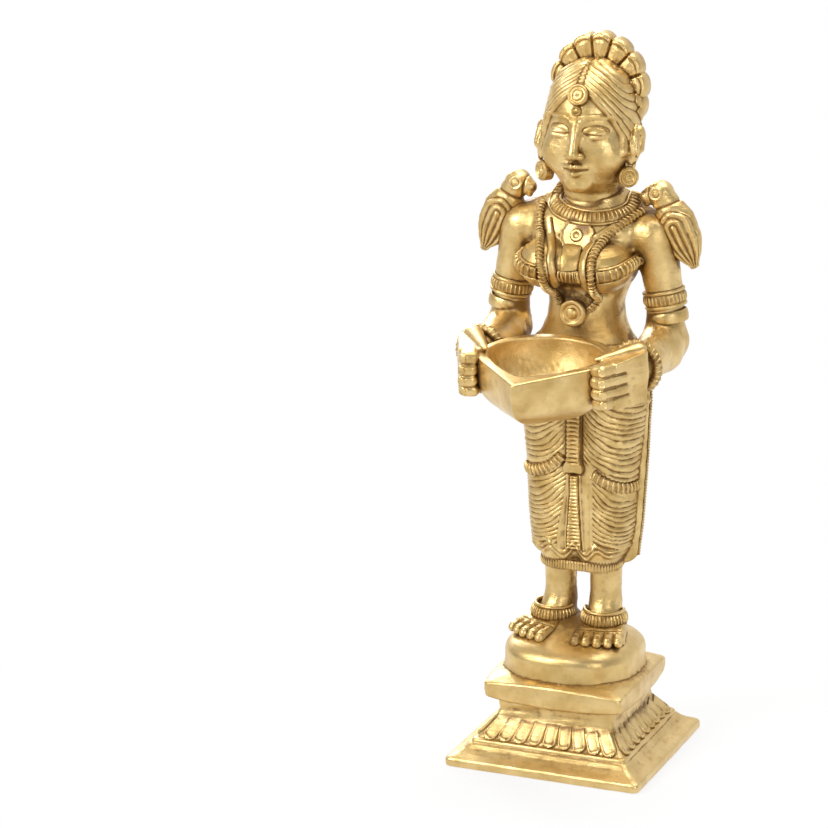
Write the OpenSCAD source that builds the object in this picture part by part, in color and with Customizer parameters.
// Brass lamp bearer: a draped figure stands on a lotus pedestal and holds an oil bowl in both
// hands, with a parrot on each shoulder. The castings are pegged together and brazed, and one
// stud with a nut clamps the plinth to the hollow pedestal. The front is -Y, the figure's left
// is +X, and the pedestal stands on Z = 0. All sizes are in millimetres.

/* [Pedestal] */
// Side of the square foot
base_w = 50; // [46:0.5:60]
// Upright edge of the foot
base_edge_h = 2.4; // [1.6:0.1:4]
// Width of the rim that the foot stands on
foot_rim = 3.2; // [2:0.1:4.5]
// Rise of the flange above the edge
flange_h = 2.8; // [2:0.1:4]
// Side of the lip above the flange
lip_w = 40; // [37:0.5:44]
// Height of the lip
lip_h = 1.1; // [0.6:0.1:2]
// Height of the lotus band
lotus_h = 4.9; // [4:0.1:7]
// Petals along each side of the lotus band
petals_per_side = 9; // [5:1:11]
// How far a petal stands proud of the band
petal_proud = 0.5; // [0.3:0.1:1]
// Side of the square neck
neck_w = 30.4; // [27:0.2:33]
// Height of the square neck
neck_h = 4.9; // [3:0.1:7]
// Wall of the hollow pedestal at its neck
pedestal_wall = 2.6; // [1.8:0.1:4]
// Side of the slab
slab_w = 36; // [35.6:0.2:42]
// Height of the slab
slab_h = 5; // [3.5:0.1:7]
// Metal above the hollow, under the plinth
roof_t = 4.2; // [3:0.1:5]

/* [Plinth] */
// Diameter of the round plinth
plinth_d = 35; // [33:0.5:40]
// Height of the upright side of the plinth
plinth_side_h = 4.8; // [3:0.1:7]
// Height from the slab to the soles of the feet
plinth_h = 7.8; // [7.4:0.1:12]
// How far the plinth's dome rises above the soles
dome_h = 3.4; // [1:0.1:5]

/* [Legs] */
// Distance between the two ankles
stance_w = 11.8; // [11:0.1:14]
// Length of a foot
foot_l = 19.4; // [17:0.1:21]
// Width of a foot across the toes
foot_w = 11.8; // [10.4:0.1:12.4]
// Diameter of an ankle
ankle_d = 8; // [7:0.1:8.6]
// Distance from the ankle's axis to the back of the heel
heel_back = 5.4; // [4.8:0.1:7]
// Height of the toes
toe_h = 3; // [2.4:0.1:3.6]
// Height of the instep above the plinth
instep_h = 5.4; // [4.8:0.1:6.6]
// Height from the plinth to the skirt's hem
leg_h = 16.8; // [14:0.1:22]
// Outward turn of the left foot, in degrees
left_splay = 12; // [4:1:18]
// Outward turn of the right foot, in degrees
right_splay = 30; // [10:1:36]

/* [Skirt] */
// Height of the skirt from hem to waistband
skirt_h = 58.3; // [48:0.1:70]
// Width at the hem
hem_w = 20; // [19.6:0.1:23]
// Depth at the hem
hem_d = 16.6; // [15:0.1:19]
// Height of the hem band
hem_band_h = 2.4; // [1.6:0.1:4]
// Width at the calves
calf_w = 26.4; // [24:0.1:28]
// Depth at the calves
calf_d = 19; // [17:0.1:22]
// Width at the knees
knee_w = 27.4; // [25:0.1:30]
// Depth at the knees
knee_d = 20.2; // [18:0.1:23]
// Width at the hips
hip_w = 31; // [28:0.1:33]
// Depth at the hips
hip_d = 21.2; // [19:0.1:25]
// Width at the waistband
band_w = 24.6; // [21:0.1:28]
// Depth at the waistband
band_d = 18.6; // [16:0.1:21]
// Height of the calves above the hem
calf_up = 10; // [6:0.5:15]
// Height of the knees above the hem
knee_up = 25; // [18:0.5:32]
// Height of the hips above the hem
hip_up = 44; // [36:0.5:50]
// Distance from one draped fold to the next
fold_pitch = 1.6; // [1.4:0.05:2.4]
// Depth of a draped fold
fold_depth = 0.45; // [0.2:0.05:0.7]
// How far a fold falls from the middle to the side
fold_fall = 3.8; // [1:0.1:5]
// Depth of the valley between the two legs
cleft_depth = 1.5; // [0.5:0.1:2.4]
// How far the pleat stands proud of that valley
pleat_proud = 1.3; // [0.4:0.1:2]
// How far the cloth's edge stands out at each side
edge_proud = 1; // [0.5:0.1:2]

/* [Torso] */
// Height from the waistband to the flat of the shoulders
torso_h = 31.5; // [28:0.1:36]
// Width of the waist
waist_w = 18.2; // [16:0.1:22]
// Depth of the waist
waist_d = 18.6; // [16:0.1:20]
// Height of the waist above the waistband
waist_up = 7.6; // [5:0.1:10]
// Width of the ribs
chest_w = 26.4; // [24:0.1:29]
// Depth of the ribs
chest_d = 18.6; // [16:0.1:20]
// Height of the bust above the waistband
bust_up = 19.4; // [17:0.1:21]
// Distance between the two sides of the bust
bust_w = 14.6; // [12:0.1:17]
// How far the bust stands forward
bust_proud = 6.4; // [4:0.1:7.5]
// Width of the shoulders between the arms
shoulder_w = 34; // [31:0.1:37]
// Depth of the shoulders
shoulder_d = 16; // [14:0.1:17.4]
// Diameter of the neck
throat_d = 12.8; // [11:0.1:13.4]
// How far the body stands behind the pedestal's centre
body_back = 4.8; // [4:0.1:5.6]
// Height of the neck's seat above the shoulders
seat_up = 2; // [1.4:0.1:3]
// Forward tilt of the collar, in degrees
collar_tilt = 18; // [12:1:20]
// Inner diameter of the collar
collar_d = 17.8; // [17:0.1:19]
// How far the torso stands in front of the legs
torso_lead = 0.8; // [0:0.1:1.6]

/* [Arms] */
// Distance between the axes of the upper arms
arms_w = 37.8; // [37:0.1:42]
// Diameter of an upper arm at its armlet
arm_d = 10; // [9:0.1:11]
// Height of the joint under the armlet above the waistband
arm_joint_up = 11.6; // [9:0.1:14]
// Diameter of an elbow
elbow_d = 11; // [9.6:0.1:11.6]
// Height of the forearm's axis above the waistband
forearm_up = -0.4; // [-2:0.1:2]
// Diameter of a wrist
wrist_d = 7; // [6:0.1:8]
// How far the wrist reaches in front of the body's axis
wrist_reach = 20.4; // [18:0.1:23]
// Length of a hand from wrist to fingertips
hand_l = 21.5; // [19:0.1:24]
// Diameter of a finger
finger_d = 2.9; // [2.4:0.1:3.2]
// Inward turn of each hand, in degrees
hand_turn = 8; // [4:1:10]

/* [Bowl] */
// Width of the bowl between the hands
bowl_w = 31.6; // [28:0.1:32.4]
// Length of the bowl from its back to its spout
bowl_l = 38.2; // [34:0.1:42]
// Depth of the bowl outside
bowl_h = 14.6; // [12:0.1:18]
// Height of the rim above the forearm's axis
rim_up = 3; // [2:0.1:4.5]
// Width of the rim
bowl_wall = 1.9; // [1.3:0.1:3]
// Room between the bowl's back and the body's axis
bowl_gap = 12.8; // [12.6:0.1:15]
// Slant of each edge beside the spout, in degrees
spout_slant = 46; // [38:1:52]
// Width of the flat rim at the spout's tip
spout_rim = 6.2; // [3:0.1:8]
// Metal under the hollow
bowl_floor = 3; // [2:0.1:4]
// Forward tilt of the rim, in degrees
bowl_tilt = 4; // [0:0.5:6]

/* [Parrots] */
// Distance between the two perched birds
parrots_w = 41.6; // [41:0.1:45]
// Height of a bird's head above the shoulders
parrot_up = 5.2; // [3:0.1:7]
// Length of a bird from crown to tail
parrot_l = 23; // [20:0.1:26]
// Thickness of a bird's body
parrot_d = 8; // [6.4:0.1:9]
// Lean of a bird away from the neck, in degrees
parrot_lean = 26; // [22:1:30]
// How far a bird sits behind the arm's axis
parrot_back = 1; // [0:0.1:2]

/* [Head] */
// Height of the chin above the shoulders
chin_up = 6.2; // [5:0.1:9]
// Height of the head from chin to hair parting
head_h = 31; // [27:0.1:35]
// Width of the face
face_w = 21.4; // [19:0.1:24]
// Distance from the neck's axis to the brow
brow_reach = 13.2; // [11.5:0.1:14.5]
// Length of the nose
nose_proud = 2.4; // [1:0.1:3.4]
// Diameter of an ear
ear_d = 6.6; // [5:0.1:8]
// Plane at the back of the head where the garland starts
garland_back = 1; // [0.5:0.1:3]
// Thickness of the flower garland
garland_t = 6; // [4:0.1:8]
// Radius from the knot's centre to the tips of the garland
garland_r = 13.6; // [12:0.1:16]
// Flowers on the garland
garland_flowers = 13; // [9:2:17]
// Diameter of the knot of hair
bun_d = 22; // [18:0.1:24]
// Depth of the knot of hair
bun_t = 4.4; // [3:0.1:7]

/* [Ornaments] */
// Height of the ribbed rings on ankles and arms
ring_h = 2.6; // [1.8:0.1:3.6]
// Thickness of the ribbed rings
ring_t = 1.2; // [0.8:0.1:1.8]
// Ribs round a ring
ring_ribs = 24; // [16:2:30]
// Thickness of the long chain
chain_d = 2; // [1.4:0.1:2.6]
// Diameter of the chain's pendant
pendant_d = 6; // [4:0.1:8]
// Diameter of the forehead jewel
tikka_d = 4.8; // [3.6:0.1:6]
// Diameter of an earring
earring_d = 4.6; // [3:0.1:6]
// Thickness of the pendant, the forehead jewel and the earrings
jewel_t = 1.4; // [0.8:0.1:2.2]

/* [Fixings] */
// Diameter of the clamping stud
stud_d = 5; // [4:0.5:6]
// Depth of the stud in the plinth
stud_grip = 5.4; // [4:0.1:6]
// Width of the nut across its flats
nut_af = 8; // [7:0.5:10]
// Height of the nut
nut_h = 4; // [2.5:0.1:5]
// Thickness of the washer
washer_t = 1; // [0.6:0.1:1.6]
// Diameter of the washer
washer_d = 10; // [9:0.5:13]
// Diameter of the pegs at neck and waist
peg_d = 7; // [5:0.1:8]
// Diameter of the pegs in arms, legs and hands
small_peg_d = 4; // [3:0.1:4.6]
// Length of a peg
peg_l = 4; // [2.5:0.1:5]
// Clearance round a peg or inside a ring
fit = 0.1; // [0.05:0.01:0.2]

/* [Hidden] */
brass = [0.80, 0.62, 0.28];
steel = [0.62, 0.62, 0.60];
$fn = 64;
eps = 0.01;

// Heights, each stacked on the one below
z_edge = base_edge_h;
z_lip = z_edge + flange_h;
z_lotus = z_lip + lip_h;
z_neck = z_lotus + lotus_h;
z_slab = z_neck + neck_h;
z_plinth = z_slab + slab_h;
z_foot = z_plinth + plinth_h;
z_hem = z_foot + leg_h;
z_band = z_hem + skirt_h;
z_shoulder = z_band + torso_h;
z_seat = z_shoulder + seat_up;
z_arm = z_band + arm_joint_up;
z_forearm = z_band + forearm_up;
z_rim = z_forearm + rim_up;
z_bust = z_band + bust_up;
z_ceiling = z_plinth - roof_t;

// Places that several pieces share
leg_x = stance_w / 2;
arm_x = arms_w / 2;
wrist_y = body_back - wrist_reach;
bowl_back_y = body_back - bowl_gap;
bowl_mid_y = bowl_back_y - 0.45 * bowl_l;
bowl_tip_y = bowl_back_y - bowl_l;
bowl_oval_l = 1.25 * (bowl_mid_y - bowl_tip_y);
neck_y = body_back - 1.2;

// Shared curves and lofts
function ease(t) = t * t * (3 - 2 * t);
function clamp01(t) = max(0, min(1, t));
function ramp(lo, hi, v) = ease(clamp01((v - lo) / (hi - lo)));
function hump(v, mid, half) = exp(-pow((v - mid) / half, 2));
function rise(s, i) = (s[i + 1][1] - s[i][1]) / (s[i + 1][0] - s[i][0]);
function slope(s, i) = i == 0 || i == len(s) - 1 || rise(s, i - 1) * rise(s, i) <= 0 ? 0
    : 2 * rise(s, i - 1) * rise(s, i) / (rise(s, i - 1) + rise(s, i));
function span(s, v, i = 0) = i >= len(s) - 2 || v < s[i + 1][0] ? i : span(s, v, i + 1);
// Smooth curve through [place, value] stations that never overshoots them
function through(s, v) =
    let (i = span(s, v), w = s[i + 1][0] - s[i][0], t = clamp01((v - s[i][0]) / w))
    s[i][1] * (1 + 2 * t) * (1 - t) * (1 - t) + slope(s, i) * w * t * (1 - t) * (1 - t)
    + s[i + 1][1] * t * t * (3 - 2 * t) - slope(s, i + 1) * w * t * t * (1 - t);

// Closed solid through rings that all have the same number of points, from bottom to top
module loft(rings) {
    n = len(rings[0]);
    last = (len(rings) - 1) * n;
    walls = [for (j = [0 : len(rings) - 2], i = [0 : n - 1])
        let (a = j * n + i, b = j * n + (i + 1) % n)
        each [[a, a + n, b], [b, a + n, b + n]]];
    polyhedron([for (r = rings) each r],
        concat([[for (i = [0 : n - 1]) i]], walls, [[for (i = [n - 1 : -1 : 0]) last + i]]));
}

// Round section of radius r at point p, square to the direction [0, cos(a), sin(a)]
function tube_ring(p, r, a, sides) = [for (i = [0 : sides - 1])
    let (t = 360 * i / sides) p + r * [cos(t), sin(t) * sin(a), -sin(t) * cos(a)]];

module mirrored(side) {
    if (side > 0) children();
    else mirror([1, 0, 0]) children();
}

// Ring with upright ribs round its outside and a true bore
module ribbed_ring(bore_d, wall, height) {
    mid_r = bore_d / 2 + 0.8 * wall;
    rib = 0.2 * wall;
    steps = 4 * ring_ribs;
    linear_extrude(height) difference() {
        polygon([for (i = [0 : steps - 1]) let (a = 360 * i / steps)
            (mid_r + rib * cos(ring_ribs * a)) * [cos(a), sin(a)]]);
        circle(d = bore_d);
    }
}

// Round jewel on the XY plane with a rim and a centre boss, facing +Z
module jewel(d, t) {
    r = d / 2;
    rotate_extrude() polygon([[0, 0], [0.9 * r, 0], [r, 0.3 * t], [r, 0.6 * t], [0.86 * r, 0.8 * t],
        [0.66 * r, 0.55 * t], [0.4 * r, 0.5 * t], [0.32 * r, 0.9 * t], [0.16 * r, t], [0, t]]);
}

// Pedestal
arc_steps = 6;
lotus_foot = lip_w / 2 - 1;
slab_cut = 1.2;
pedestal_side = concat(
    [[base_w / 2, 0], [base_w / 2, z_edge]],
    [for (i = [1 : arc_steps]) let (a = 90 * i / arc_steps)
        [base_w / 2 + (lip_w - base_w) / 2 * sin(a), z_edge + flange_h * (1 - cos(a))]],
    [[lip_w / 2, z_lotus]],
    [[lotus_foot, z_lotus], [neck_w / 2, z_neck], [neck_w / 2, z_slab],
        [slab_w / 2 - slab_cut, z_slab], [slab_w / 2, z_slab + slab_cut],
        [slab_w / 2, z_plinth - 0.4 * slab_cut], [slab_w / 2 - 0.4 * slab_cut, z_plinth]]);
hollow_side = [[base_w / 2 - foot_rim, -1], [base_w / 2 - foot_rim, 0.5 * z_edge],
    [neck_w / 2 - pedestal_wall, z_lotus + 0.35 * lotus_h],
    [neck_w / 2 - pedestal_wall, z_ceiling]];

// Square moulding: one outline pushed along X and along Y, kept where both agree
module square_moulding(side) {
    far = side[0][0];
    outline = concat(side, [for (i = [len(side) - 1 : -1 : 0]) [-side[i][0], side[i][1]]]);
    intersection() {
        rotate([90, 0, 0]) linear_extrude(2 * far + 2, center = true) polygon(outline);
        rotate([90, 0, 90]) linear_extrude(2 * far + 2, center = true) polygon(outline);
    }
}

// Tongue-shaped petal with a round lower end, drawn upwards from the origin
module petal_outline(w, l) {
    translate([0, w / 2]) circle(d = w, $fn = 24);
    translate([-w / 2, w / 2]) square([w, l - w / 2]);
}

module lotus_petals() {
    foot_half = lotus_foot;
    run = foot_half - neck_w / 2;
    chord = norm([run, lotus_h]);
    tilt = atan2(lotus_h, run);
    pitch = 2 * foot_half / petals_per_side;
    for (turn = [0 : 3], i = [0 : petals_per_side - 1]) {
        x = (i + 0.5) * pitch - foot_half;
        fan = atan2(x * (1 - neck_w / 2 / foot_half), chord);
        rotate([0, 0, 90 * turn]) translate([x, -foot_half, z_lotus]) rotate([tilt, 0, 0])
            rotate([0, 0, fan]) translate([0, 0.4, -0.6])
            linear_extrude(0.6 + petal_proud) petal_outline(0.78 * pitch, 0.86 * chord);
    }
}

module pedestal() {
    color(brass) difference() {
        union() {
            square_moulding(pedestal_side);
            lotus_petals();
        }
        square_moulding(hollow_side);
        translate([0, 0, z_ceiling - 1]) cylinder(d = stud_d + 2 * fit, h = roof_t + 2);
    }
}

// Fixings under the plinth
stud_tail = 1.2;
z_washer = z_ceiling - washer_t;
z_nut = z_washer - nut_h;

module tie_stud() {
    color(steel) translate([0, 0, z_nut - stud_tail])
        cylinder(d = stud_d, h = z_plinth + stud_grip - z_nut + stud_tail);
}

module tie_washer() {
    color(steel) translate([0, 0, z_washer]) difference() {
        cylinder(d = washer_d, h = washer_t);
        translate([0, 0, -1]) cylinder(d = stud_d + 2 * fit, h = washer_t + 2);
    }
}

module tie_nut() {
    color(steel) translate([0, 0, z_nut]) difference() {
        cylinder(d = nut_af / cos(30), h = nut_h, $fn = 6);
        translate([0, 0, -1]) cylinder(d = stud_d + 2 * fit, h = nut_h + 2);
    }
}

// Plinth
module leg_places(side) {
    translate([side * leg_x, body_back, 0])
        rotate([0, 0, side > 0 ? left_splay : -right_splay]) children();
}

// Flat-bottomed pocket in the dome for one foot, which is broader at the toes than at the heel
toe_spread = 0.12;
module foot_pocket() {
    w = (1 + toe_spread) * foot_w + 4 * fit;
    translate([0, 0, z_foot]) linear_extrude(dome_h + 1) {
        translate([0, heel_back - foot_w / 2 + 2 * fit]) circle(d = w);
        translate([-w / 2, heel_back - foot_w / 2 - 2 * foot_l]) square([w, 2 * foot_l]);
    }
}

module plinth() {
    r = plinth_d / 2;
    base_in = 0.5;
    dome_steps = 10;
    color(brass) difference() {
        translate([0, 0, z_plinth]) rotate_extrude() polygon(concat(
            [[0, 0], [r - base_in, 0], [r, 2 * base_in], [r, plinth_side_h]],
            [for (i = [1 : dome_steps]) let (a = 90 * i / dome_steps)
                [r * pow(max(0, cos(a)), 0.85), plinth_side_h
                    + (plinth_h + dome_h - plinth_side_h) * pow(sin(a), 0.85)]]));
        translate([0, 0, z_plinth - 1]) cylinder(d = stud_d + 2 * fit, h = stud_grip + 1 + fit);
        for (side = [-1, 1]) leg_places(side) translate([0, 0, z_foot - peg_l - fit])
            cylinder(d = small_peg_d + 2 * fit, h = peg_l + 1);
        for (side = [-1, 1]) leg_places(side) foot_pocket();
    }
}

// Feet, from the sole up to the hem; local origin on the ankle's axis
toe_y = heel_back - foot_l;
foot_front = [[0, toe_y], [toe_h, toe_y + 0.6], [0.62 * instep_h, 0.5 * toe_y],
    [instep_h, -ankle_d / 2], [leg_h, -ankle_d / 2]];
foot_heel = [[0, heel_back - 0.3], [0.5 * instep_h, heel_back], [instep_h, ankle_d / 2],
    [leg_h, ankle_d / 2]];
foot_half = [[0, foot_w / 2], [0.5 * toe_h, foot_w / 2], [0.62 * instep_h, 0.42 * foot_w],
    [instep_h, ankle_d / 2], [leg_h, ankle_d / 2]];
function foot_ring(z) = let (f = through(foot_front, z), h = through(foot_heel, z))
    [for (i = [0 : 23]) let (a = 15 * i)
        [through(foot_half, z) * cos(a) * (z < instep_h ? 1 - toe_spread * sin(a) : 1),
            (f + h) / 2 + (h - f) / 2 * sin(a), z]];

module foot(side) {
    toes = 5;
    toe_d = 0.96 * foot_w / toes;
    color(brass) leg_places(side) translate([0, 0, z_foot]) {
        loft([for (z = [0, 0.6 * toe_h, toe_h, 0.62 * instep_h, 0.82 * instep_h, instep_h, leg_h])
            foot_ring(z)]);
        for (i = [0 : toes - 1]) {
            x = (i - (toes - 1) / 2) * foot_w / toes;
            y = toe_y + 0.5 + 0.045 * x * x;
            translate([x, y, toe_d / 2]) {
                sphere(d = toe_d, $fn = 32);
                rotate([-80, 0, 0]) cylinder(d = toe_d, h = 0.3 * foot_l, $fn = 32);
            }
        }
        translate([0, 0, -peg_l]) cylinder(d = small_peg_d, h = peg_l + 1);
        translate([0, 0, leg_h - 1]) cylinder(d = small_peg_d, h = peg_l + 1);
    }
}

module left_foot() { foot(1); }
module right_foot() { foot(-1); }

module anklet(side) {
    color(brass) leg_places(side) translate([0, 0, z_foot + instep_h + fit])
        ribbed_ring(ankle_d + 2 * fit, ring_t, ring_h);
}
module left_anklet() { anklet(1); }
module right_anklet() { anklet(-1); }

// Skirt: each ring follows a draped fold, high at the pleat and low at the side
skirt_half_w = [[0, hem_w / 2], [calf_up, calf_w / 2], [knee_up, knee_w / 2], [hip_up, hip_w / 2],
    [skirt_h, band_w / 2]];
skirt_half_d = [[0, hem_d / 2], [calf_up, calf_d / 2], [knee_up, knee_d / 2], [hip_up, hip_d / 2],
    [skirt_h, band_d / 2]];
half_turn = [0, 5, 9, 13, 20, 30, 42, 55, 68, 79, 88, 95, 99, 103, 107, 115, 135, 160];
around = concat(half_turn, [180], [for (i = [len(half_turn) - 1 : -1 : 1]) 360 - half_turn[i]]);
folds = floor((skirt_h - hem_band_h - 1.5) / fold_pitch);
fold_step = (skirt_h - hem_band_h - 0.5) / (2 * folds + 1);
fold_heights = [for (i = [0 : 2 * folds]) hem_band_h + 0.5 + i * fold_step];
front_edge = 12;
side_edge = 95;
cloth_edge = 103;

function turn_from_front(a) = a > 180 ? 360 - a : a;
function falling(a) = let (u = clamp01((turn_from_front(a) - front_edge) / (side_edge - front_edge)))
    1 - (1 - u) * (1 - u);
function fold_zone(a) = let (t = turn_from_front(a))
    ramp(front_edge - 4, front_edge + 4, t) * (1 - ramp(side_edge - 8, side_edge, t));
function skirt_point(a, h, bump, fall) =
    let (t = turn_from_front(a), drop = fall * fold_fall * falling(a), z = h - drop,
        legs = 0.05 * hip_d * pow(sin(2 * min(t, 90)), 2) - cleft_depth * hump(t, 0, 13)
            + pleat_proud * hump(t, 0, 6) + hump(t, cloth_edge, 5) * ramp(hem_band_h, hem_band_h + 1, h)
                * (edge_proud + max(0, calf_w / 2 - through(skirt_half_w, h)) * (h < calf_up ? 1 : 0)),
        out = legs + bump * fold_zone(a))
    [(through(skirt_half_w, z) + out) * sin(a),
        body_back - (through(skirt_half_d, z) + out) * cos(a), z_hem + z];
function skirt_ring(h, bump, fall) = [for (a = around) skirt_point(a, h, bump, fall)];
function fold_fade(h) = ramp(hem_band_h, hem_band_h + 16, h) * (1 - ramp(skirt_h - 9, skirt_h, h));

module skirt() {
    hem_proud = 0.4;
    color(brass) difference() {
        loft(concat(
            [skirt_ring(0, 0, 0), skirt_ring(0.2, hem_proud, 0), skirt_ring(hem_band_h - 0.2, hem_proud, 0)],
            [for (i = [0 : len(fold_heights) - 1])
                skirt_ring(fold_heights[i], i % 2 == 0 ? -fold_depth : 0, fold_fade(fold_heights[i]))],
            [skirt_ring(skirt_h, 0, 0)]));
        translate([0, body_back, z_band - peg_l - fit]) cylinder(d = peg_d + 2 * fit, h = peg_l + 1);
        for (side = [-1, 1]) leg_places(side) translate([0, 0, z_hem - 1])
            cylinder(d = small_peg_d + 2 * fit, h = peg_l + 1 + fit);
    }
}

// Torso
rib_up = bust_up - 3.4;
top_round = 1.6;
torso_half_w = [[0, band_w / 2 - 1.2], [waist_up, waist_w / 2], [rib_up, chest_w / 2],
    [torso_h - 2 * top_round, shoulder_w / 2], [torso_h - top_round, shoulder_w / 2 - 0.4],
    [torso_h, shoulder_w / 2 - 3]];
torso_half_d = [[0, band_d / 2 - 0.8], [waist_up, waist_d / 2], [rib_up, chest_d / 2],
    [torso_h - 2 * top_round, shoulder_d / 2], [torso_h, shoulder_d / 2 - 0.8]];
bust_r = 0.4 * bust_w + 0.4;
function bust(x, h) = bust_proud * hump(abs(x), bust_w / 2, bust_r) * hump(h, bust_up, 0.8 * bust_r)
    + 0.8 * bust_proud * hump(x, 0, 0.4 * bust_w) * hump(h, bust_up + 1, 0.8 * bust_r);
torso_y = body_back - torso_lead;
function torso_front(x, h) = let (w = through(torso_half_w, h), d = through(torso_half_d, h))
    torso_y - d * sqrt(max(0, 1 - x * x / w / w)) - bust(x, h);
function torso_ring(h) = let (w = through(torso_half_w, h), d = through(torso_half_d, h))
    [for (i = [0 : 35]) let (a = 10 * i, x = w * sin(a), y = d * cos(a))
        [x, torso_y - y - (cos(a) > 0 ? bust(x, h) * ramp(0, 0.35, cos(a)) : 0), z_band + h]];
torso_levels = concat([for (i = [0 : 17]) i * (torso_h - 2 * top_round) / 18],
    [torso_h - 2 * top_round, torso_h - top_round, torso_h - 0.4 * top_round, torso_h]);

// Sloping yoke between the neck and the shoulders, leaning forward with the collar
yoke_slope = 0.7;
yoke_h = 7;
collar_low = -0.7;
module on_yoke() { translate([0, neck_y - 1, z_shoulder]) rotate([collar_tilt, 0, 0]) children(); }

module yoke() {
    low = -2.6;
    low_r = collar_d / 2 - fit + (collar_low - low) * yoke_slope;
    intersection() {
        on_yoke() translate([0, 0, low]) cylinder(r1 = low_r, r2 = low_r - yoke_h * yoke_slope, h = yoke_h);
        translate([-50, -50, z_band]) cube([100, 100, torso_h + seat_up]);
    }
}

// Groove that the collar lies in
module collar_groove() {
    on_yoke() translate([0, 0, collar_low - fit]) difference() {
        cylinder(d = collar_d + 2 * ring_t + 4 * fit, h = 10);
        translate([0, 0, -1]) cylinder(d = collar_d - 2 * fit, h = 12);
    }
}

// Upper arm between the shoulder and the joint under the armlet
arm_top = z_shoulder - 0.6;
arm_lean = 1.4;
arm_radius = [[z_arm, arm_d / 2], [z_arm + ring_h + 1, arm_d / 2], [arm_top - 6, arm_d / 2 + 0.4],
    [arm_top - 2, 0.4 * arm_d], [arm_top, 0.15 * arm_d]];
arm_levels = [z_arm, z_arm + ring_h + 1, arm_top - 9, arm_top - 6, arm_top - 4, arm_top - 2.6,
    arm_top - 1.2, arm_top];
function arm_centre(z) = [arm_x - arm_lean * ramp(z_arm + ring_h, arm_top, z), body_back, z];
function arm_ring(z) = [for (i = [0 : 19]) let (a = 18 * i)
    arm_centre(z) + through(arm_radius, z) * [cos(a), sin(a), 0]];

// Perch: a slanting plane that the bird's breast and the shoulder share
perch_x = parrots_w / 2 - 0.3 * parrot_d;
perch_z = z_shoulder - 4.5;
perch_turn = 90 - parrot_lean - 7;
module on_perch(side) {
    mirrored(side) translate([perch_x, body_back + parrot_back, perch_z]) rotate([0, perch_turn, 0]) children();
}

module torso() {
    color(brass) difference() {
        union() {
            loft([for (h = torso_levels) torso_ring(h)]);
            yoke();
            for (side = [-1, 1]) mirrored(side) loft([for (z = arm_levels) arm_ring(z)]);
            translate([0, body_back, z_band - peg_l]) cylinder(d = peg_d, h = peg_l + 1);
        }
        for (side = [-1, 1]) {
            mirrored(side) translate([arm_x, body_back, z_arm - 1])
                cylinder(d = small_peg_d + 2 * fit, h = peg_l + 1 + fit);
            on_perch(side) translate([-15, -15, 0]) cube([30, 30, 12]);
            on_perch(side) translate([0, 0, -peg_l / 2 - fit])
                cylinder(d = small_peg_d / 2 + 2 * fit, h = peg_l);
        }
        collar_groove();
        translate([0, neck_y, z_seat - peg_l - fit])
            cylinder(d = peg_d + 2 * fit, h = peg_l + 1);
    }
}

// Necklaces
module collar() {
    color(brass) on_yoke() translate([0, 0, collar_low]) ribbed_ring(collar_d, ring_t, ring_h);
}

chain_sides = 8;
chain_gap = 0.3;
chain_top = torso_h - 2;
pendant_h = waist_up + 0.8;
chain_bottom = pendant_h + pendant_d / 2 + 0.3;
chain_x = [[chain_bottom, 0.7 * chain_d], [bust_up - 3, 0.3 * bust_w], [bust_up + 3, 0.36 * bust_w],
    [chain_top, 0.38 * shoulder_w]];
// Place of the chain's core: clear of the breast measured square to its surface
function chain_point(h) = let (x = through(chain_x, h), y = torso_front(x, h),
    steep = [1, torso_front(x + 0.5, h) - torso_front(x - 0.5, h),
        torso_front(x, h + 0.5) - torso_front(x, h - 0.5)])
    [x, y - (chain_d / 2 + chain_gap) * norm(steep), z_band + h];
function chain_pitch(h) = let (d = chain_point(h + 0.1) - chain_point(h - 0.1)) atan2(d[2], d[1]);

module long_chain() {
    rings = 26;
    color(brass) for (side = [-1, 1]) mirrored(side)
        loft([for (i = [0 : rings]) let (h = chain_bottom + (chain_top - chain_bottom) * i / rings)
            tube_ring(chain_point(h), chain_d / 2 * (i % 2 == 0 ? 0.9 : 1), chain_pitch(h), chain_sides)]);
}

module pendant() {
    seat = min([for (dh = [-1, 0, 1]) torso_front(0, pendant_h + dh * pendant_d / 2)]);
    color(brass) translate([0, seat - 0.2, z_band + pendant_h]) rotate([90, 0, 0])
        jewel(pendant_d, jewel_t);
}

// Armlets cover the joint between the upper arm and the forearm
module armlet(side) {
    color(brass) translate([side * arm_x, body_back, z_arm - ring_h / 2])
        ribbed_ring(arm_d + 2 * fit, ring_t, ring_h);
}
module left_armlet() { armlet(1); }
module right_armlet() { armlet(-1); }

// Forearm: down from the armlet, round the elbow and forward to the wrist
bend_r = max(0.55 * elbow_d, 0.5 * elbow_d + 0.3);
forearm_drop = z_arm - z_forearm - bend_r;
forearm_run = wrist_reach - bend_r;
function forearm_spine(u) = u < 1 ? [0, forearm_drop * (1 - u) + bend_r, 90]
    : u < 2 ? [-bend_r * (1 - cos(90 * (u - 1))), bend_r * (1 - sin(90 * (u - 1))), 90 - 90 * (u - 1)]
    : [-bend_r - forearm_run * (u - 2), 0, 0];
forearm_radius = [[0, arm_d / 2], [0.5, arm_d / 2], [1, elbow_d / 2], [2, elbow_d / 2],
    [2.75, wrist_d / 2], [3, wrist_d / 2]];
forearm_places = [0, 0.5, 0.75, 1, 1.25, 1.5, 1.75, 2, 2.2, 2.4, 2.6, 2.75, 3];
function forearm_ring(u) = let (s = forearm_spine(u))
    tube_ring([arm_x, body_back + s[0], z_forearm + s[1]], through(forearm_radius, u), s[2] + 180, 20);

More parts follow.
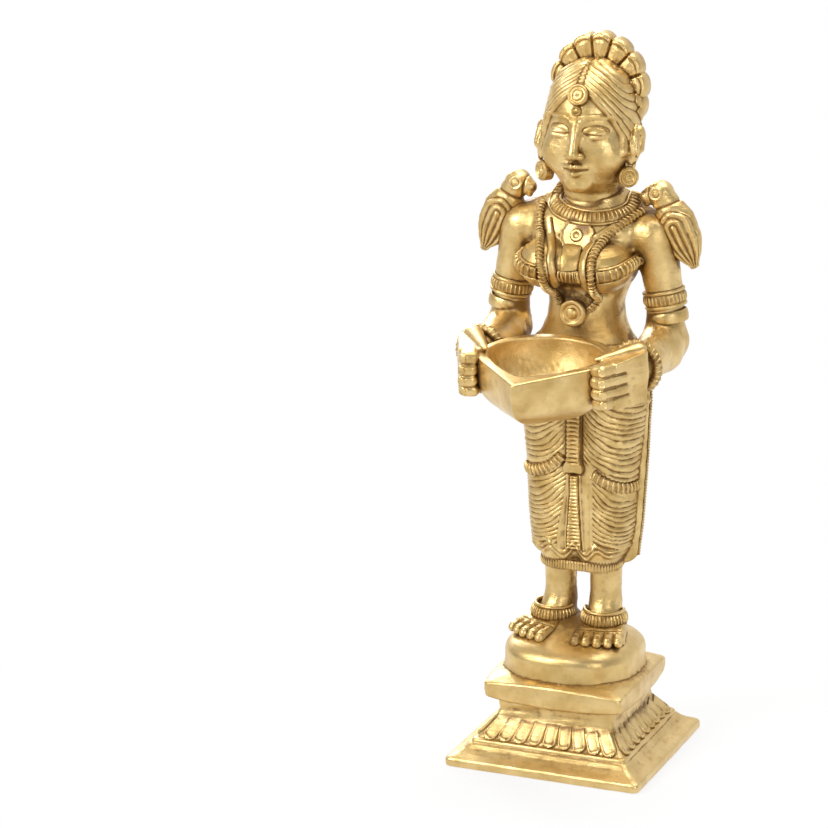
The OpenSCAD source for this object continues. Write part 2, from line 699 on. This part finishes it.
module forearm(side) {
    color(brass) mirrored(side) difference() {
        union() {
            loft([for (u = forearm_places) forearm_ring(u)]);
            translate([arm_x, body_back, z_arm - 1]) cylinder(d = small_peg_d, h = peg_l + 1);
        }
        translate([arm_x, wrist_y - 1, z_forearm]) rotate([-90, 0, 0])
            cylinder(d = small_peg_d + 2 * fit, h = peg_l + 1 + fit);
    }
}
module left_forearm() { forearm(1); }
module right_forearm() { forearm(-1); }

module bangle(side) {
    color(brass) translate([side * arm_x, wrist_y + ring_h / 2, z_forearm]) rotate([90, 0, 0])
        ribbed_ring(wrist_d + 2 * fit, ring_t, ring_h);
}
module left_bangle() { bangle(1); }
module right_bangle() { bangle(-1); }

// Hand: a wrist stub, a flat palm outside the bowl, four fingers along it and a thumb on the rim
palm_l = 0.55 * hand_l;
palm_t = 1.5 * finger_d;
fingers = 4;
fingers_h = fingers * 0.92 * finger_d;
// Widest reach of the bowl as a hand turned inwards meets it, and the palm's place outside that
grip = max([for (d = [0 : 10]) bowl_w / 2 * sqrt(1 - pow(d / bowl_oval_l, 2)) + d * tan(hand_turn)]);
palm_out = palm_t / 2 + (grip + 3 * fit - arm_x) / cos(hand_turn)
    + (wrist_y - bowl_mid_y) * tan(hand_turn) / cos(hand_turn);
module finger(from, to, d) {
    v = to - from;
    l = norm(v);
    translate(from) rotate([0, acos(v[2] / l), atan2(v[1], v[0])]) {
        cylinder(d = d, h = l, $fn = 32);
        translate([0, 0, l]) sphere(d = d, $fn = 32);
    }
}

module hand(side) {
    stub = ring_h / 2 + 0.6;
    color(brass) mirrored(side) translate([arm_x, wrist_y, z_forearm]) {
        rotate([-90, 0, 0]) cylinder(d = small_peg_d, h = peg_l);
        rotate([90, 0, 0]) cylinder(d = wrist_d, h = stub);
        rotate([0, 0, -hand_turn]) {
            hull() {
                translate((stub + 4 * fit) * [sin(hand_turn), -cos(hand_turn), 0])
                    sphere(d = wrist_d + 3 * fit, $fn = 24);
                for (end = [-1, 1]) translate([palm_out, -palm_l, end * (fingers_h - palm_t) / 2])
                    sphere(d = palm_t, $fn = 24);
            }
            for (i = [0 : fingers - 1]) {
                z = (i - (fingers - 1) / 2) * 0.92 * finger_d;
                short = i == 0 ? 0.12 * hand_l : i == fingers - 1 ? 0.06 * hand_l : 0;
                finger([palm_out, -palm_l + 1, z], [palm_out, finger_d / 2 + short - hand_l, z], finger_d);
            }
            finger([palm_out - 1, 0.2 - stub - finger_d / 2, rim_up - 0.6],
                [palm_out - 2.4, -0.5 * hand_l, rim_up + 0.6 * finger_d + 0.5], finger_d);
        }
    }
}
module left_hand() { hand(1); }
module right_hand() { hand(-1); }

// Bowl: an oval cut to a blunt spout in front, lofted down to a rounded keel
bowl_a = bowl_w / 2;
bowl_back_l = bowl_back_y - bowl_mid_y;
bowl_front_l = bowl_mid_y - bowl_tip_y;
bowl_turns = 48;
// Radius of the outline towards angle a, where 0 is the spout
function oval(a, w, l) = 1 / sqrt(pow(sin(a) / w, 2) + pow(cos(a) / l, 2));
function spout(a) = let (c = cos(a) * cos(spout_slant) + abs(sin(a)) * sin(spout_slant))
    c <= 0.05 ? 1000 : bowl_front_l * cos(spout_slant) / c;
function bowl_out(a) = cos(a) < 0 ? oval(a, bowl_a, bowl_back_l)
    : min(oval(a, bowl_a, bowl_oval_l), spout(a));
function bowl_in(a) = cos(a) < 0 ? oval(a, bowl_a - bowl_wall, bowl_back_l - bowl_wall)
    : min(oval(a, bowl_a - bowl_wall, bowl_front_l - spout_rim), spout(a) - 1.2 * bowl_wall);
function bowl_point(a, r, z) = [r * sin(a), bowl_mid_y - r * cos(a), z];
function outer_ring(t) = [for (i = [0 : bowl_turns - 1]) let (a = 360 * i / bowl_turns)
    bowl_point(a, bowl_out(a) * sqrt(1 - pow(1 - t, 2.1)), z_rim - bowl_h * (1 - t))];
function inner_ring(t) = [for (i = [0 : bowl_turns - 1]) let (a = 360 * i / bowl_turns)
    bowl_point(a, bowl_in(a) * sqrt(1 - pow(1 - t, 2.1)), z_rim - (bowl_h - bowl_floor) * (1 - t))];

module bowl() {
    color(brass) translate([0, bowl_mid_y, z_rim]) rotate([bowl_tilt, 0, 0])
        translate([0, -bowl_mid_y, -z_rim]) loft(concat(
        [for (t = [0.02, 0.08, 0.18, 0.32, 0.5, 0.75, 1]) outer_ring(t)],
        [for (t = [1, 0.7, 0.45, 0.25, 0.12, 0.03]) inner_ring(t)]));
}

// Parrot: body leaning outwards on its perch, head turned to the figure's face
parrot_x = parrots_w / 2;
parrot_radius = [[0, 0.09 * parrot_d], [0.16, 0.25 * parrot_d], [0.45, 0.48 * parrot_d],
    [0.62, 0.5 * parrot_d], [0.76, 0.38 * parrot_d], [0.88, 0.43 * parrot_d], [0.96, 0.34 * parrot_d],
    [1, 0.08 * parrot_d]];
parrot_places = [0, 0.08, 0.16, 0.3, 0.45, 0.54, 0.62, 0.7, 0.76, 0.82, 0.88, 0.93, 0.97, 1];
parrot_top_z = z_shoulder + parrot_up + 2.6;
function parrot_ring(u) = [for (i = [0 : 15]) let (a = 22.5 * i, r = through(parrot_radius, u))
    [r * cos(a), r * sin(a), (u - 1) * parrot_l]];

module parrot(side) {
    head_z = -0.12 * parrot_l;
    beak_r = 0.24 * parrot_d;
    color(brass) mirrored(side) difference() {
        union() {
            translate([parrot_x - 0.42 * parrot_l * sin(parrot_lean), body_back + parrot_back, parrot_top_z])
                rotate([0, -parrot_lean, 0]) {
                loft([for (u = parrot_places) parrot_ring(u)]);
                translate([-0.3 * parrot_d, 0, head_z]) rotate([0, -112, 0])
                    cylinder(r1 = beak_r, r2 = 0.15 * beak_r, h = 0.44 * parrot_d, $fn = 32);
            }
        }
        translate([perch_x, body_back, perch_z]) rotate([0, perch_turn, 0])
            translate([-15, -15, -30 + fit]) cube([30, 30, 30]);
    }
    color(brass) on_perch(side) translate([0, 0, -peg_l / 2]) cylinder(d = small_peg_d / 2, h = peg_l / 2 + 1);
}
module left_parrot() { parrot(1); }
module right_parrot() { parrot(-1); }

// Head: neck, face and parted hair, flat at the back where the garland is set
head_top = chin_up + head_h;
garland_z = z_shoulder + head_top - 0.6 * garland_r;
garland_y = body_back + garland_back;
flower_pitch = 270 / garland_flowers;
flower_r = 0.5 * garland_r * flower_pitch / 57.3;
garland_ring_r = garland_r - flower_r;
flat_from = garland_z - z_shoulder - garland_ring_r - 0.3;
head_front = [[0, throat_d / 2], [chin_up - 1.4, throat_d / 2], [chin_up, brow_reach - 1],
    [chin_up + 0.16 * head_h, brow_reach + 0.4], [chin_up + 0.36 * head_h, brow_reach],
    [chin_up + 0.6 * head_h, 0.94 * brow_reach], [chin_up + 0.75 * head_h, 0.8 * brow_reach],
    [chin_up + 0.9 * head_h, 0.5 * brow_reach], [head_top, 0.1 * brow_reach]];
head_half = [[0, throat_d / 2], [chin_up - 1.4, throat_d / 2], [chin_up, 0.32 * face_w],
    [chin_up + 0.16 * head_h, 0.42 * face_w], [chin_up + 0.4 * head_h, face_w / 2],
    [chin_up + 0.62 * head_h, 0.54 * face_w], [chin_up + 0.8 * head_h, 0.46 * face_w],
    [head_top, 0.12 * face_w]];
nape = garland_back + garland_t;
head_back = [[0, throat_d / 2 - 1.6], [chin_up - 1.4, throat_d / 2 - 1.6], [flat_from - 0.6, nape],
    [head_top, nape]];
nose_h = chin_up + 0.27 * head_h;
function nose(a, h) = nose_proud * hump(a, 0, 12)
    * ramp(nose_h - 1.4, nose_h, h) * (1 - ramp(nose_h + 0.2, nose_h + 0.2 * head_h, h));
function head_ring(h) = let (w = through(head_half, h), f = through(head_front, h), b = through(head_back, h))
    [for (i = [0 : 31]) let (a = 11.25 * i, t = turn_from_front(a))
        [w * sin(a), cos(a) > 0 ? body_back - f * cos(a) - nose(t, h)
            : body_back + min(-b * cos(a), h < flat_from ? nape : garland_back), z_shoulder + h]];
head_levels = concat([seat_up, chin_up - 1.4, chin_up - 0.6, chin_up],
    [flat_from - 0.6, flat_from],
    [for (i = [1 : 15]) flat_from + (head_top - flat_from) * i / 16], [head_top - 0.5, head_top]);
ear_h = chin_up + 0.34 * head_h;
ear_x = 0.46 * face_w;
ear_y = body_back - 0.25 * brow_reach;

module head() {
    color(brass) {
        loft([for (h = head_levels) head_ring(h)]);
        for (side = [-1, 1]) mirrored(side) translate([ear_x, ear_y, z_shoulder + ear_h])
            rotate([0, 90, -25]) cylinder(d1 = 0.8 * ear_d, d2 = ear_d, h = 2.2);
        translate([0, neck_y, z_seat - peg_l]) cylinder(d = peg_d, h = peg_l + 1);
    }
}

// Garland of flowers round the knot of hair, and the knot itself
module facing_back(y) { translate([0, y, garland_z]) rotate([-90, 0, 0]) children(); }

module hair_garland() {
    steps = 8;
    under_steps = 10;
    petals = [for (i = [0 : garland_flowers * steps]) let (t = 2 * (i % steps) / steps - 1)
        [flower_pitch * (i / steps - garland_flowers / 2), garland_ring_r + flower_r * sqrt(1 - 0.9 * t * t)]];
    under = [for (i = [1 : under_steps - 1]) [135 + 90 * i / under_steps, garland_ring_r]];
    color(brass) facing_back(garland_y) linear_extrude(garland_t)
        polygon([for (p = concat(petals, under)) p[1] * [sin(p[0]), -cos(p[0])]]);
}

module hair_bun() {
    r = bun_d / 2;
    color(brass) facing_back(garland_y + garland_t) rotate_extrude()
        polygon(concat([[0, 0]], [for (i = [0 : arc_steps]) let (a = 90 * i / arc_steps)
            [r * cos(a), bun_t * sin(a)]]));
}

// Forehead jewel and earrings
tikka_h = chin_up + 0.75 * head_h;
module tikka() {
    slack = 0.3;
    lean = atan2(through(head_front, tikka_h - tikka_d / 2) - through(head_front, tikka_h + tikka_d / 2),
        tikka_d);
    color(brass) translate([0, body_back - through(head_front, tikka_h) - slack, z_shoulder + tikka_h])
        rotate([90 - lean, 0, 0]) jewel(tikka_d, jewel_t);
}

module earring(side) {
    drop = 0.5 * (ear_d + earring_d) + 4 * fit;
    color(brass) translate([side * (ear_x + 1.2), ear_y - 1, z_shoulder + ear_h - drop])
        rotate([90, 0, 0]) jewel(earring_d, jewel_t);
}
module left_earring() { earring(1); }
module right_earring() { earring(-1); }

pedestal();
tie_stud();
tie_washer();
tie_nut();
plinth();
left_foot();
right_foot();
left_anklet();
right_anklet();
skirt();
torso();
collar();
long_chain();
pendant();
left_armlet();
right_armlet();
left_forearm();
right_forearm();
left_bangle();
right_bangle();
left_hand();
right_hand();
bowl();
left_parrot();
right_parrot();
head();
hair_garland();
hair_bun();
tikka();
left_earring();
right_earring();
